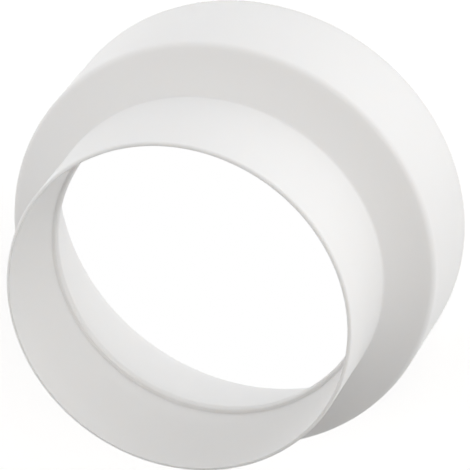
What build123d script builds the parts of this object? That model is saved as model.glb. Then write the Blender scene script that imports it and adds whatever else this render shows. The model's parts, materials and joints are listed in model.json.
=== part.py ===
from build123d import *
import os
from math import atan2, radians, tan

# Round duct reducer, moulded in one piece. A large spigot stands at the bottom, a short
# steep cone closes in over it, and a small spigot rises from the top of the cone. Each bore
# leans in from its rim, so that the moulding comes off its core, and a stop shoulder with a
# rounded lip stands in at the foot of the small bore. The two cores meet at the lip's foot,
# where the throat is narrowest. The section is drawn once, with the rounding of each corner,
# and turned about the duct axis.
# Millimetres, +Z up the duct axis, origin at the centre of the large rim.

# Outside form
large_diameter = 125.0
small_diameter = 100.0
large_length = 32.5  # from the large rim to the foot of the cone
cone_height = 9.0
small_length = 32.0  # from the top of the cone to the small rim

# Walls
large_rim_wall = 2.4
small_rim_wall = 1.1
cone_wall = 2.5  # at the foot of the cone; the wall thickens from there up to the stop

# Lean of each wall inside, in degrees
large_bore_draft = 0.5
small_bore_draft = 3.0
throat_draft = 5.0

# Stop shoulder at the foot of the small bore
stop_rise = 1.0  # stop face above the outside corner at the top of the cone
stop_width = 1.35  # from the bore wall in to the narrowest part of the throat
lip_thickness = 2.2

# Roundings and the chamfer on the outside of both rims
cone_edge_round = 3.2  # from the large spigot to the cone
cone_root_round = 1.0  # from the cone to the small spigot
lip_round = 1.0  # from the stop face into the throat
rim_chamfer = 0.6

# Outside corners
large_radius = large_diameter / 2
small_radius = small_diameter / 2
cone_top = large_length + cone_height
total_height = cone_top + small_length

# Small bore, down to the stop and through the throat
stop_height = cone_top + stop_rise
small_mouth_radius = small_radius - small_rim_wall
stop_root_radius = small_mouth_radius - (total_height - stop_height) * tan(radians(small_bore_draft))
throat_radius = stop_root_radius - stop_width
lip_radius = throat_radius + lip_thickness * tan(radians(throat_draft))
lip_foot = stop_height - lip_thickness

# Large bore, up to the corner where the cone's wall keeps its thickness round the bend
cone_turn = atan2(large_radius - small_radius, cone_height)
bore_corner_height = large_length - cone_wall * tan(cone_turn / 2)
large_mouth_radius = large_radius - large_rim_wall
bore_corner_radius = large_mouth_radius - bore_corner_height * tan(radians(large_bore_draft))

# Section corners as radius, height and rounding: up the outside, then down the inside
section_corners = [
    (large_radius, 0, 0),
    (large_radius, large_length, cone_edge_round),
    (small_radius, cone_top, cone_root_round),
    (small_radius, total_height, 0),
    (small_mouth_radius, total_height, 0),
    (stop_root_radius, stop_height, 0),
    (lip_radius, stop_height, lip_round),
    (throat_radius, lip_foot, 0),
    (bore_corner_radius, bore_corner_height, 0),
    (large_mouth_radius, 0, 0),
]

with BuildPart() as reducer_body:
    with BuildSketch(Plane.XZ) as section:
        with BuildLine():
            FilletPolyline(
                [(radius, height) for radius, height, rounding in section_corners],
                radius=[rounding for radius, height, rounding in section_corners],
                close=True,
            )
        make_face()
        levels = section.vertices().group_by(Axis.Y)
        rim_outer_corners = [rim.sort_by(Axis.X)[-1] for rim in (levels[0], levels[-1])]
        chamfer(rim_outer_corners, rim_chamfer)
    revolve(axis=Axis.Z)

reducer_body.part.label = "reducer_body"

os.makedirs("parts", exist_ok=True)
export_step(reducer_body.part, "parts/reducer_body.step")
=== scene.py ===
"""Studio scene of a round duct reducer, moulded in white plastic.

A Geometry Nodes tree rounds the corners of the reducer's section and turns it about the duct axis.
The piece stands on a pale floor in soft light and is seen from above, through its small spigot.
Lengths are in metres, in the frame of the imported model: +Z up the duct axis, origin at the centre
of the large rim.
"""

import json
import logging
from collections.abc import Mapping
from dataclasses import dataclass, field
from enum import Enum
from math import atan2, cos, radians, sin, tan

import bpy
from mathutils import Matrix, Vector


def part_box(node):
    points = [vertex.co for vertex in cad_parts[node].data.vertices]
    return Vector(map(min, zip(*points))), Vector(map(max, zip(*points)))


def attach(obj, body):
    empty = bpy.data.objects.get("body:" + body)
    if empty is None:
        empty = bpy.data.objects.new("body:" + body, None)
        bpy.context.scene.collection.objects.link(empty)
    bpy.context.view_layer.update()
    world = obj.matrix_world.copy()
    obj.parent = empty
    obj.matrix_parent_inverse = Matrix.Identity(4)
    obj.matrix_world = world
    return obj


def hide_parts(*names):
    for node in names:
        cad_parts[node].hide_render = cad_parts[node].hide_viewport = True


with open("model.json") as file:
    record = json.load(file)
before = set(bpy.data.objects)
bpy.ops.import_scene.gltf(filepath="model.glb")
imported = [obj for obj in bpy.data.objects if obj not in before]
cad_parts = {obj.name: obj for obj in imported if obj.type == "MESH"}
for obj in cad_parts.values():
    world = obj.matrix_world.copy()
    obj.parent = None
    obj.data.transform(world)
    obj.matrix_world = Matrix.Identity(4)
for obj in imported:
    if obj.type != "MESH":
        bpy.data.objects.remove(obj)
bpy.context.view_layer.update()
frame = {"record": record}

MM = 0.001
BODY_NODE = "reducer_body"

Colour = tuple[float, float, float]
WHITE: Colour = (1.0, 1.0, 1.0)
SHOWS_WHITE = 1.0  # strength at which a white background renders white

# Numbers of the Mix node's colour sockets, whose names its other sockets share
MIX_COLOUR_A, MIX_COLOUR_B, MIX_COLOUR_RESULT = 6, 7, 2

log = logging.getLogger("duct_reducer")


def add_node(
    tree: bpy.types.NodeTree,
    kind: str,
    inputs: Mapping[str | int, object] | None = None,
    **settings: object,
) -> bpy.types.Node:
    """Add a node to a tree, with its settings and its inputs.

    Args:
        tree: Tree that gets the node.
        kind: Blender's name of the node type.
        inputs: Value of each input, by the input's name or number; a socket is linked.
        settings: Properties of the node itself.

    Returns:
        The new node.
    """
    node = tree.nodes.new(kind)
    for name, value in settings.items():
        setattr(node, name, value)
    for key, value in (inputs or {}).items():
        if isinstance(value, bpy.types.NodeSocket):
            tree.links.new(value, node.inputs[key])
        else:
            node.inputs[key].default_value = value
    return node


def opaque(colour: Colour) -> tuple[float, float, float, float]:
    """Give a colour its full opacity, as colour sockets need it."""
    return (*colour, 1.0)


class SectionCorner(Enum):
    """Section corners, up the inside and down the outside; the value names the tree's input."""

    LARGE_RIM_INSIDE = "Large Rim Inside"
    BORE_CORNER = "Bore Corner"
    LIP_FOOT = "Lip Foot"
    LIP_TOP = "Lip Top"
    STOP_ROOT = "Stop Root"
    SMALL_RIM_INSIDE = "Small Rim Inside"
    SMALL_RIM_OUTSIDE = "Small Rim Outside"
    CONE_ROOT = "Cone Root"
    CONE_EDGE = "Cone Edge"
    LARGE_RIM_OUTSIDE = "Large Rim Outside"


class TurnInput(Enum):
    """Inputs of the turning tree apart from the corners."""

    PATH_RADIUS = "Path Radius"
    SEGMENTS = "Segments"
    ARC_STEPS = "Arc Steps"
    ROW_SPACING = "Row Spacing"
    FINISH = "Finish"


@dataclass(frozen=True)
class Patches:
    """Soft patches all over a surface: their rough width and the number of finer layers in them."""

    size: float
    layers: float

    def factor(self, tree: bpy.types.NodeTree, place: bpy.types.NodeSocket) -> bpy.types.NodeSocket:
        """Add the noise texture that makes the patches.

        Args:
            tree: Material tree that gets the texture.
            place: Coordinates that the texture reads.

        Returns:
            The noise's factor, from 0 to 1.
        """
        noise = add_node(
            tree,
            "ShaderNodeTexNoise",
            {"Vector": place, "Scale": 1 / self.size, "Detail": self.layers},
        )
        return noise.outputs["Fac"]


@dataclass(frozen=True)
class MouldedPlastic:
    """White moulded plastic: an even colour with a faint drift, satin gloss and a fine mould grain.

    Some of the light spreads inside it, red furthest, so thin edges look lighter.
    """

    name: str = "white_plastic"
    colour: Colour = (0.885, 0.882, 0.876)
    drift_colour: Colour = (0.872, 0.868, 0.860)
    drift: Patches = Patches(45 * MM, layers=3.0)
    satin_roughness: tuple[float, float] = (0.46, 0.56)
    satin: Patches = Patches(9 * MM, layers=4.0)
    specular_level: float = 0.3
    spread_share: float = 0.7
    spread_reach: float = 1.2 * MM
    spread_colour: Colour = (1.0, 0.95, 0.9)
    sink: Patches = Patches(24 * MM, layers=0.0)
    sink_depth: float = 0.03 * MM
    grain: Patches = Patches(0.35 * MM, layers=2.0)
    grain_depth: float = 0.012 * MM

    def material(self) -> bpy.types.Material:
        """Build the plastic's material.

        Returns:
            A node material that reads the piece's Object coordinates.
        """
        material = bpy.data.materials.new(self.name)
        material.use_nodes = True
        tree = material.node_tree
        tree.nodes.clear()
        place = add_node(tree, "ShaderNodeTexCoord").outputs["Object"]
        tint = add_node(
            tree,
            "ShaderNodeMix",
            {
                "Factor": self.drift.factor(tree, place),
                MIX_COLOUR_A: opaque(self.colour),
                MIX_COLOUR_B: opaque(self.drift_colour),
            },
            data_type="RGBA",
        )
        satin = add_node(
            tree,
            "ShaderNodeMapRange",
            {
                "Value": self.satin.factor(tree, place),
                "To Min": self.satin_roughness[0],
                "To Max": self.satin_roughness[1],
            },
        )
        sink = add_node(
            tree,
            "ShaderNodeBump",
            {"Height": self.sink.factor(tree, place), "Distance": self.sink_depth},
        )
        grain = add_node(
            tree,
            "ShaderNodeBump",
            {
                "Height": self.grain.factor(tree, place),
                "Distance": self.grain_depth,
                "Normal": sink.outputs["Normal"],
            },
        )
        plastic = add_node(
            tree,
            "ShaderNodeBsdfPrincipled",
            {
                "Base Color": tint.outputs[MIX_COLOUR_RESULT],
                "Roughness": satin.outputs["Result"],
                "Specular IOR Level": self.specular_level,
                "Subsurface Weight": self.spread_share,
                "Subsurface Scale": self.spread_reach,
                "Subsurface Radius": self.spread_colour,
                "Normal": grain.outputs["Normal"],
            },
        )
        add_node(tree, "ShaderNodeOutputMaterial", {"Surface": plastic.outputs["BSDF"]})
        return material


@dataclass(frozen=True)
class TurnedSection:
    """Geometry Nodes tree that rounds a closed section and turns it about +Z.

    Each corner is one vector input that holds its radius, its height and its rounding.
    """

    name: str = "turned_section"
    segments: int = 288
    arc_steps: int = 10
    row_spacing: float = 1.5 * MM

    def tree(self) -> bpy.types.GeometryNodeTree:
        """Build the tree.

        Returns:
            The tree, with its inputs at their defaults.
        """
        tree = bpy.data.node_groups.new(self.name, "GeometryNodeTree")
        for corner in SectionCorner:
            tree.interface.new_socket(corner.value, in_out="INPUT", socket_type="NodeSocketVector")
        for entry, socket_type in (
            (TurnInput.PATH_RADIUS, "NodeSocketFloat"),
            (TurnInput.SEGMENTS, "NodeSocketInt"),
            (TurnInput.ARC_STEPS, "NodeSocketInt"),
            (TurnInput.ROW_SPACING, "NodeSocketFloat"),
            (TurnInput.FINISH, "NodeSocketMaterial"),
        ):
            tree.interface.new_socket(entry.value, in_out="INPUT", socket_type=socket_type)
        tree.interface.new_socket("Geometry", in_out="OUTPUT", socket_type="NodeSocketGeometry")

        given = add_node(tree, "NodeGroupInput").outputs
        section = self._rows(tree, self._rounded_section(tree, given), given)
        path = add_node(
            tree,
            "GeometryNodeCurvePrimitiveCircle",
            {
                "Resolution": given[TurnInput.SEGMENTS.value],
                "Radius": given[TurnInput.PATH_RADIUS.value],
            },
        )
        turned = add_node(
            tree,
            "GeometryNodeCurveToMesh",
            {"Curve": path.outputs["Curve"], "Profile Curve": section},
        )
        smooth = add_node(tree, "GeometryNodeSetShadeSmooth", {"Geometry": turned.outputs["Mesh"]})
        realized = add_node(
            tree, "GeometryNodeRealizeInstances", {"Geometry": smooth.outputs["Geometry"]}
        )
        finished = add_node(
            tree,
            "GeometryNodeSetMaterial",
            {"Geometry": realized.outputs["Geometry"], "Material": given[TurnInput.FINISH.value]},
        )
        add_node(tree, "NodeGroupOutput", {"Geometry": finished.outputs["Geometry"]})
        return tree

    @staticmethod
    def _rounded_section(
        tree: bpy.types.NodeTree, given: bpy.types.NodeOutputs
    ) -> bpy.types.NodeSocket:
        """Add the nodes that draw the closed section and round its corners.

        Args:
            tree: Tree that gets the nodes.
            given: The tree's inputs.

        Returns:
            The rounded section as a curve, across and down from the path that it is swept along.
        """
        index = add_node(tree, "GeometryNodeInputIndex").outputs["Index"]
        chosen = add_node(tree, "GeometryNodeIndexSwitch", data_type="VECTOR")
        while len(chosen.index_switch_items) < len(SectionCorner):
            chosen.index_switch_items.new()
        tree.links.new(index, chosen.inputs["Index"])
        for number, corner in enumerate(SectionCorner):
            tree.links.new(given[corner.value], chosen.inputs[str(number)])
        corner_values = chosen.outputs["Output"]
        parts = add_node(tree, "ShaderNodeSeparateXYZ", {"Vector": corner_values}).outputs
        radius, height, rounding = parts["X"], parts["Y"], parts["Z"]
        across = add_node(
            tree,
            "ShaderNodeMath",
            {0: radius, 1: given[TurnInput.PATH_RADIUS.value]},
            operation="SUBTRACT",
        )
        down = add_node(tree, "ShaderNodeMath", {0: height, 1: -1.0}, operation="MULTIPLY")
        spot = add_node(
            tree, "ShaderNodeCombineXYZ", {"X": across.outputs["Value"], "Y": down.outputs["Value"]}
        )
        loop = add_node(
            tree, "GeometryNodeCurvePrimitiveCircle", {"Resolution": len(SectionCorner)}
        )
        placed = add_node(
            tree,
            "GeometryNodeSetPosition",
            {"Geometry": loop.outputs["Curve"], "Position": spot.outputs["Vector"]},
        )
        rounded = add_node(
            tree,
            "GeometryNodeFilletCurve",
            {
                "Curve": placed.outputs["Geometry"],
                "Count": given[TurnInput.ARC_STEPS.value],
                "Radius": rounding,
            },
            mode="POLY",
        )
        return rounded.outputs["Curve"]

    @staticmethod
    def _rows(
        tree: bpy.types.NodeTree, section: bpy.types.NodeSocket, given: bpy.types.NodeOutputs
    ) -> bpy.types.NodeSocket:
        """Add the nodes that cut the long straight stretches of the section into rows.

        Args:
            tree: Tree that gets the nodes.
            section: The rounded section.
            given: The tree's inputs.

        Returns:
            The section with points no further apart than the row spacing.
        """
        here = add_node(tree, "GeometryNodeInputPosition").outputs["Position"]
        following = add_node(tree, "GeometryNodeOffsetPointInCurve", {"Offset": 1})
        there = add_node(
            tree,
            "GeometryNodeFieldAtIndex",
            {"Value": here, "Index": following.outputs["Point Index"]},
            data_type="FLOAT_VECTOR",
            domain="POINT",
        )
        span = add_node(
            tree, "ShaderNodeVectorMath", {0: here, 1: there.outputs["Value"]}, operation="DISTANCE"
        )
        share = add_node(
            tree,
            "ShaderNodeMath",
            {0: span.outputs["Value"], 1: given[TurnInput.ROW_SPACING.value]},
            operation="DIVIDE",
        )
        cuts = add_node(
            tree, "FunctionNodeFloatToInt", {"Float": share.outputs["Value"]}, rounding_mode="FLOOR"
        )
        divided = add_node(
            tree, "GeometryNodeSubdivideCurve", {"Curve": section, "Cuts": cuts.outputs["Integer"]}
        )
        return divided.outputs["Curve"]


@dataclass
class ReducerBody:
    """The reducer's one moulding: two plain spigots, the cone between them and the stop inside.

    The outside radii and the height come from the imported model, and the other sizes are the
    section's own.
    """

    large_radius: float
    small_radius: float
    total_height: float
    large_length: float = 32.5 * MM
    cone_height: float = 9.0 * MM
    large_rim_wall: float = 2.4 * MM
    small_rim_wall: float = 1.1 * MM
    cone_wall: float = 2.5 * MM
    large_bore_draft: float = radians(0.5)
    small_bore_draft: float = radians(3.0)
    throat_draft: float = radians(5.0)
    stop_rise: float = 1.0 * MM
    stop_width: float = 1.35 * MM
    lip_thickness: float = 2.2 * MM
    rim_outer_round: float = 1.0 * MM
    rim_inner_round: float = 0.06 * MM
    cone_edge_round: float = 3.2 * MM
    cone_root_round: float = 1.0 * MM
    bore_corner_round: float = 1.0 * MM
    stop_root_round: float = 0.45 * MM
    lip_round: float = 0.8 * MM
    lip_foot_round: float = 0.6 * MM
    shaping: TurnedSection = field(default_factory=TurnedSection)
    finish: MouldedPlastic = field(default_factory=MouldedPlastic)

    @classmethod
    def from_frame(cls) -> "ReducerBody":
        """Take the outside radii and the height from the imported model.

        Returns:
            The body, with the section's other sizes at their defaults.
        """
        low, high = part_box(BODY_NODE)
        mounts = {mount["name"]: mount for mount in frame["record"]["mounts"]}
        return cls(
            large_radius=mounts["large_spigot"]["dims"]["r_mm"] * MM,
            small_radius=mounts["small_spigot"]["dims"]["r_mm"] * MM,
            total_height=high.z - low.z,
        )

    def corners(self) -> dict[SectionCorner, Vector]:
        """Work out the section's corners.

        Returns:
            Radius, height and rounding of each corner.
        """
        cone_top = self.large_length + self.cone_height
        stop_height = cone_top + self.stop_rise
        small_mouth = self.small_radius - self.small_rim_wall
        stop_root = small_mouth - (self.total_height - stop_height) * tan(self.small_bore_draft)
        throat = stop_root - self.stop_width
        lip_top = throat + self.lip_thickness * tan(self.throat_draft)
        cone_turn = atan2(self.large_radius - self.small_radius, self.cone_height)
        bore_corner_height = self.large_length - self.cone_wall * tan(cone_turn / 2)
        large_mouth = self.large_radius - self.large_rim_wall
        bore_corner = large_mouth - bore_corner_height * tan(self.large_bore_draft)
        lip_foot_height = stop_height - self.lip_thickness
        top = self.total_height
        spots = {
            SectionCorner.LARGE_RIM_INSIDE: (large_mouth, 0.0, self.rim_inner_round),
            SectionCorner.BORE_CORNER: (bore_corner, bore_corner_height, self.bore_corner_round),
            SectionCorner.LIP_FOOT: (throat, lip_foot_height, self.lip_foot_round),
            SectionCorner.LIP_TOP: (lip_top, stop_height, self.lip_round),
            SectionCorner.STOP_ROOT: (stop_root, stop_height, self.stop_root_round),
            SectionCorner.SMALL_RIM_INSIDE: (small_mouth, top, self.rim_inner_round),
            SectionCorner.SMALL_RIM_OUTSIDE: (self.small_radius, top, self.rim_outer_round),
            SectionCorner.CONE_ROOT: (self.small_radius, cone_top, self.cone_root_round),
            SectionCorner.CONE_EDGE: (self.large_radius, self.large_length, self.cone_edge_round),
            SectionCorner.LARGE_RIM_OUTSIDE: (self.large_radius, 0.0, self.rim_outer_round),
        }
        return {corner: Vector(spot) for corner, spot in spots.items()}

    def build(self) -> bpy.types.Object:
        """Turn the section into the reducer's mesh.

        Returns:
            The piece as a plain mesh, at the origin.
        """
        piece = bpy.data.objects.new("reducer_moulding", bpy.data.meshes.new("reducer_moulding"))
        bpy.context.scene.collection.objects.link(piece)
        turning = piece.modifiers.new("turned section", "NODES")
        turning.node_group = self.shaping.tree()
        settings: dict[Enum, object] = {
            **self.corners(),
            TurnInput.PATH_RADIUS: self.small_radius,
            TurnInput.SEGMENTS: self.shaping.segments,
            TurnInput.ARC_STEPS: self.shaping.arc_steps,
            TurnInput.ROW_SPACING: self.shaping.row_spacing,
            TurnInput.FINISH: self.finish.material(),
        }
        values = {entry.value: value for entry, value in settings.items()}
        for socket in turning.node_group.interface.items_tree:
            if socket.in_out == "INPUT":
                turning[socket.identifier] = values[socket.name]
        depsgraph = bpy.context.evaluated_depsgraph_get()
        mesh = bpy.data.meshes.new_from_object(piece.evaluated_get(depsgraph), depsgraph=depsgraph)
        piece.modifiers.remove(turning)
        piece.data = mesh
        return piece

    def dress(self, piece: bpy.types.Object) -> None:
        """Put the piece in the CAD node's place and on its body, and hide the CAD node.

        Args:
            piece: The built piece.
        """
        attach(piece, "root")
        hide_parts(BODY_NODE)


def seen_ray(tree: bpy.types.NodeTree) -> bpy.types.NodeSocket:
    """Add the nodes that tell the rays that show a surface from those that light the piece.

    Args:
        tree: Shader tree that gets the nodes.

    Returns:
        1 for a camera, glossy or transmission ray, and 0 for any other.
    """
    path = add_node(tree, "ShaderNodeLightPath").outputs
    direct = add_node(
        tree,
        "ShaderNodeMath",
        {0: path["Is Camera Ray"], 1: path["Is Glossy Ray"]},
        operation="MAXIMUM",
    )
    seen = add_node(
        tree,
        "ShaderNodeMath",
        {0: direct.outputs["Value"], 1: path["Is Transmission Ray"]},
        operation="MAXIMUM",
    )
    return seen.outputs["Value"]


@dataclass(frozen=True)
class PaleFloor:
    """White floor that takes the piece's soft shadow and lets the studio's light up from below.

    Where the large rim stands on it, it is solid, and inside the bore it shows plain white, as the
    studio does.
    """

    rim_radius: float
    half_width: float = 3.0
    drop: float = 0.1 * MM
    footing: float = 1.2 * MM
    glow: float = 0.54
    colour: Colour = (0.85, 0.85, 0.85)

    def build(self) -> bpy.types.Object:
        """Lay the floor just under the piece.

        Returns:
            The floor.
        """
        reach = self.half_width
        ends = ((-reach, -reach), (reach, -reach), (reach, reach), (-reach, reach))
        mesh = bpy.data.meshes.new("floor")
        mesh.from_pydata([(x, y, -self.drop) for x, y in ends], [], [range(len(ends))])
        mesh.materials.append(self.material())
        floor = bpy.data.objects.new("floor", mesh)
        bpy.context.scene.collection.objects.link(floor)
        return floor

    def material(self) -> bpy.types.Material:
        """Build the floor's material.

        Returns:
            A material that is white to the camera and clear to the light that goes up to the piece.
        """
        material = bpy.data.materials.new("pale_floor")
        material.use_nodes = True
        tree = material.node_tree
        tree.nodes.clear()
        glow = add_node(
            tree, "ShaderNodeEmission", {"Color": opaque(WHITE), "Strength": self.glow}
        )
        shade = add_node(tree, "ShaderNodeBsdfDiffuse", {"Color": opaque(self.colour)})
        around = add_node(
            tree, "ShaderNodeAddShader", {0: glow.outputs["Emission"], 1: shade.outputs["BSDF"]}
        )
        place = add_node(tree, "ShaderNodeTexCoord").outputs["Object"]
        reach = add_node(tree, "ShaderNodeVectorMath", {0: place}, operation="LENGTH")
        within = add_node(
            tree,
            "ShaderNodeMath",
            {0: reach.outputs["Value"], 1: self.rim_radius - self.footing},
            operation="LESS_THAN",
        )
        plain = add_node(
            tree, "ShaderNodeEmission", {"Color": opaque(WHITE), "Strength": SHOWS_WHITE}
        )
        seen = add_node(
            tree,
            "ShaderNodeMixShader",
            {0: within.outputs["Value"], 1: around.outputs["Shader"], 2: plain.outputs["Emission"]},
        )
        clear = add_node(tree, "ShaderNodeBsdfTransparent")
        solid = add_node(
            tree,
            "ShaderNodeMath",
            {0: reach.outputs["Value"], 1: self.rim_radius, 2: self.footing},
            operation="COMPARE",
        )
        unseen = add_node(
            tree,
            "ShaderNodeMixShader",
            {0: solid.outputs["Value"], 1: clear.outputs["BSDF"], 2: shade.outputs["BSDF"]},
        )
        mix = add_node(
            tree,
            "ShaderNodeMixShader",
            {0: seen_ray(tree), 1: unseen.outputs["Shader"], 2: seen.outputs["Shader"]},
        )
        add_node(tree, "ShaderNodeOutputMaterial", {"Surface": mix.outputs["Shader"]})
        return material


class PictureSide(Enum):
    """Sides of the picture that send light; the value points right, up and towards the camera."""

    RIGHT = (1.0, 0.0, 0.0)
    LEFT = (-1.0, 0.0, 0.0)
    TOP = (0.0, 1.0, 0.0)
    TOP_RIGHT = (1.0, 1.0, 0.0)
    FRONT = (0.0, 0.0, 1.0)
    RIGHT_FRONT = (1.0, 0.0, 1.0)
    BEHIND = (0.0, 0.0, -1.0)


class LightTint(Enum):
    """Tints of the studio's light."""

    COOL = (0.984, 0.998, 1.018)
    PLAIN = WHITE
    WARM = (1.04, 1.0, 0.96)


@dataclass(frozen=True)
class SoftLight:
    """Soft light from one side of the picture.

    It has its full level in the middle of that side, and fades round it by a power of the cosine.
    """

    side: PictureSide
    level: float
    tint: LightTint = LightTint.PLAIN
    fade: float = 6.0

    @property
    def colour(self) -> Vector:
        """Light from the middle of the side."""
        return Vector(self.tint.value) * self.level


@dataclass(frozen=True)
class StudioSurround:
    """White tent round the piece: it shows white, and each side of the picture sends its own light.

    The reducer stands on its large rim here, but it was pictured lying on its side, so the tent is
    turned with the camera at its own place: the tent's top is the picture's top, and no light comes
    from the picture's bottom.
    """

    lights: tuple[SoftLight, ...] = (
        SoftLight(PictureSide.RIGHT, 1.55),
        SoftLight(PictureSide.LEFT, 2.12),
        SoftLight(PictureSide.TOP, 1.85, LightTint.COOL),
        SoftLight(PictureSide.TOP_RIGHT, 0.43, LightTint.COOL),
        SoftLight(PictureSide.FRONT, 1.11, LightTint.WARM),
        SoftLight(PictureSide.RIGHT_FRONT, 1.08),
        SoftLight(PictureSide.BEHIND, 1.21, fade=2.0),
    )

    def build(self, stand: Matrix) -> bpy.types.World:
        """Build the world and give it to the scene.

        Args:
            stand: Turn of the camera, whose columns point right, up and back in the picture.

        Returns:
            The world.
        """
        world = bpy.data.worlds.new("studio")
        world.use_nodes = True
        tree = world.node_tree
        tree.nodes.clear()
        way = add_node(tree, "ShaderNodeTexCoord").outputs["Generated"]
        total = None
        for light in self.lights:
            middle = (stand @ Vector(light.side.value)).normalized()
            share = self._share(tree, way, middle, light)
            if total is not None:
                share = add_node(
                    tree, "ShaderNodeVectorMath", {0: total, 1: share}, operation="ADD"
                ).outputs["Vector"]
            total = share
        lit = add_node(tree, "ShaderNodeBackground", {"Color": total})
        white = add_node(
            tree, "ShaderNodeBackground", {"Color": opaque(WHITE), "Strength": SHOWS_WHITE}
        )
        mix = add_node(
            tree,
            "ShaderNodeMixShader",
            {0: seen_ray(tree), 1: lit.outputs["Background"], 2: white.outputs["Background"]},
        )
        add_node(tree, "ShaderNodeOutputWorld", {"Surface": mix.outputs["Shader"]})
        bpy.context.scene.world = world
        return world

    @staticmethod
    def _share(
        tree: bpy.types.NodeTree, way: bpy.types.NodeSocket, middle: Vector, light: SoftLight
    ) -> bpy.types.NodeSocket:
        """Add the nodes for one of the lights.

        Args:
            tree: World tree that gets the nodes.
            way: Direction that is looked along.
            middle: Direction of the light's middle.
            light: The light.

        Returns:
            That light's share, as a colour.
        """
        facing = add_node(
            tree, "ShaderNodeVectorMath", {0: way, 1: middle}, operation="DOT_PRODUCT"
        )
        lit = add_node(
            tree, "ShaderNodeMath", {0: facing.outputs["Value"], 1: 0.0}, operation="MAXIMUM"
        )
        faded = add_node(
            tree, "ShaderNodeMath", {0: lit.outputs["Value"], 1: light.fade}, operation="POWER"
        )
        share = add_node(
            tree,
            "ShaderNodeVectorMath",
            {0: light.colour, "Scale": faded.outputs["Value"]},
            operation="SCALE",
        )
        return share.outputs["Vector"]


@dataclass(frozen=True)
class PhotoCamera:
    """Camera at the photograph's place: high over the small rim, rolled, with a long lens."""

    elevation: float = radians(59.43)
    roll: float = radians(-143.95)
    sensor_mm: float = 36.0
    picture_px: float = 470.0
    focal_px: float = 5000.0
    distance: float = 1.3765
    rim_centre_px: tuple[float, float] = (176.75, 309.21)

    def build(self, rim_centre: Vector) -> bpy.types.Object:
        """Place the camera and give it to the scene.

        Args:
            rim_centre: Centre of the small rim, which the picture holds at rim_centre_px.

        Returns:
            The camera's object.
        """
        data = bpy.data.cameras.new("photo_camera")
        data.sensor_width = self.sensor_mm
        data.lens = self.sensor_mm * self.focal_px / self.picture_px
        back = Vector((0.0, -cos(self.elevation), sin(self.elevation)))
        level = Vector((1.0, 0.0, 0.0))
        right = level * cos(self.roll) + back.cross(level) * sin(self.roll)
        up = back.cross(right)
        pixel_size = self.distance / self.focal_px
        across, down = (
            (pixel - self.picture_px / 2) * pixel_size for pixel in self.rim_centre_px
        )
        camera = bpy.data.objects.new("photo_camera", data)
        camera.matrix_world = Matrix.Translation(
            rim_centre - right * across + up * down + back * self.distance
        ) @ Matrix((right, up, back)).transposed().to_4x4()
        bpy.context.scene.collection.objects.link(camera)
        bpy.context.scene.camera = camera
        return camera


def main() -> None:
    """Build the reducer and its studio, and report each piece."""
    logging.basicConfig(level=logging.INFO, format="%(name)s: %(message)s")
    reducer = ReducerBody.from_frame()
    piece = reducer.build()
    reducer.dress(piece)
    log.info("%s: %d faces", piece.name, len(piece.data.polygons))

    log.info("%s laid", PaleFloor(reducer.large_radius).build().name)
    camera = PhotoCamera().build(Vector((0.0, 0.0, reducer.total_height)))
    log.info("%s placed", camera.name)
    log.info("%s surround", StudioSurround().build(camera.matrix_world.to_3x3()).name)
    bpy.context.scene.view_settings.view_transform = "Standard"


if __name__ == "__main__":
    main()
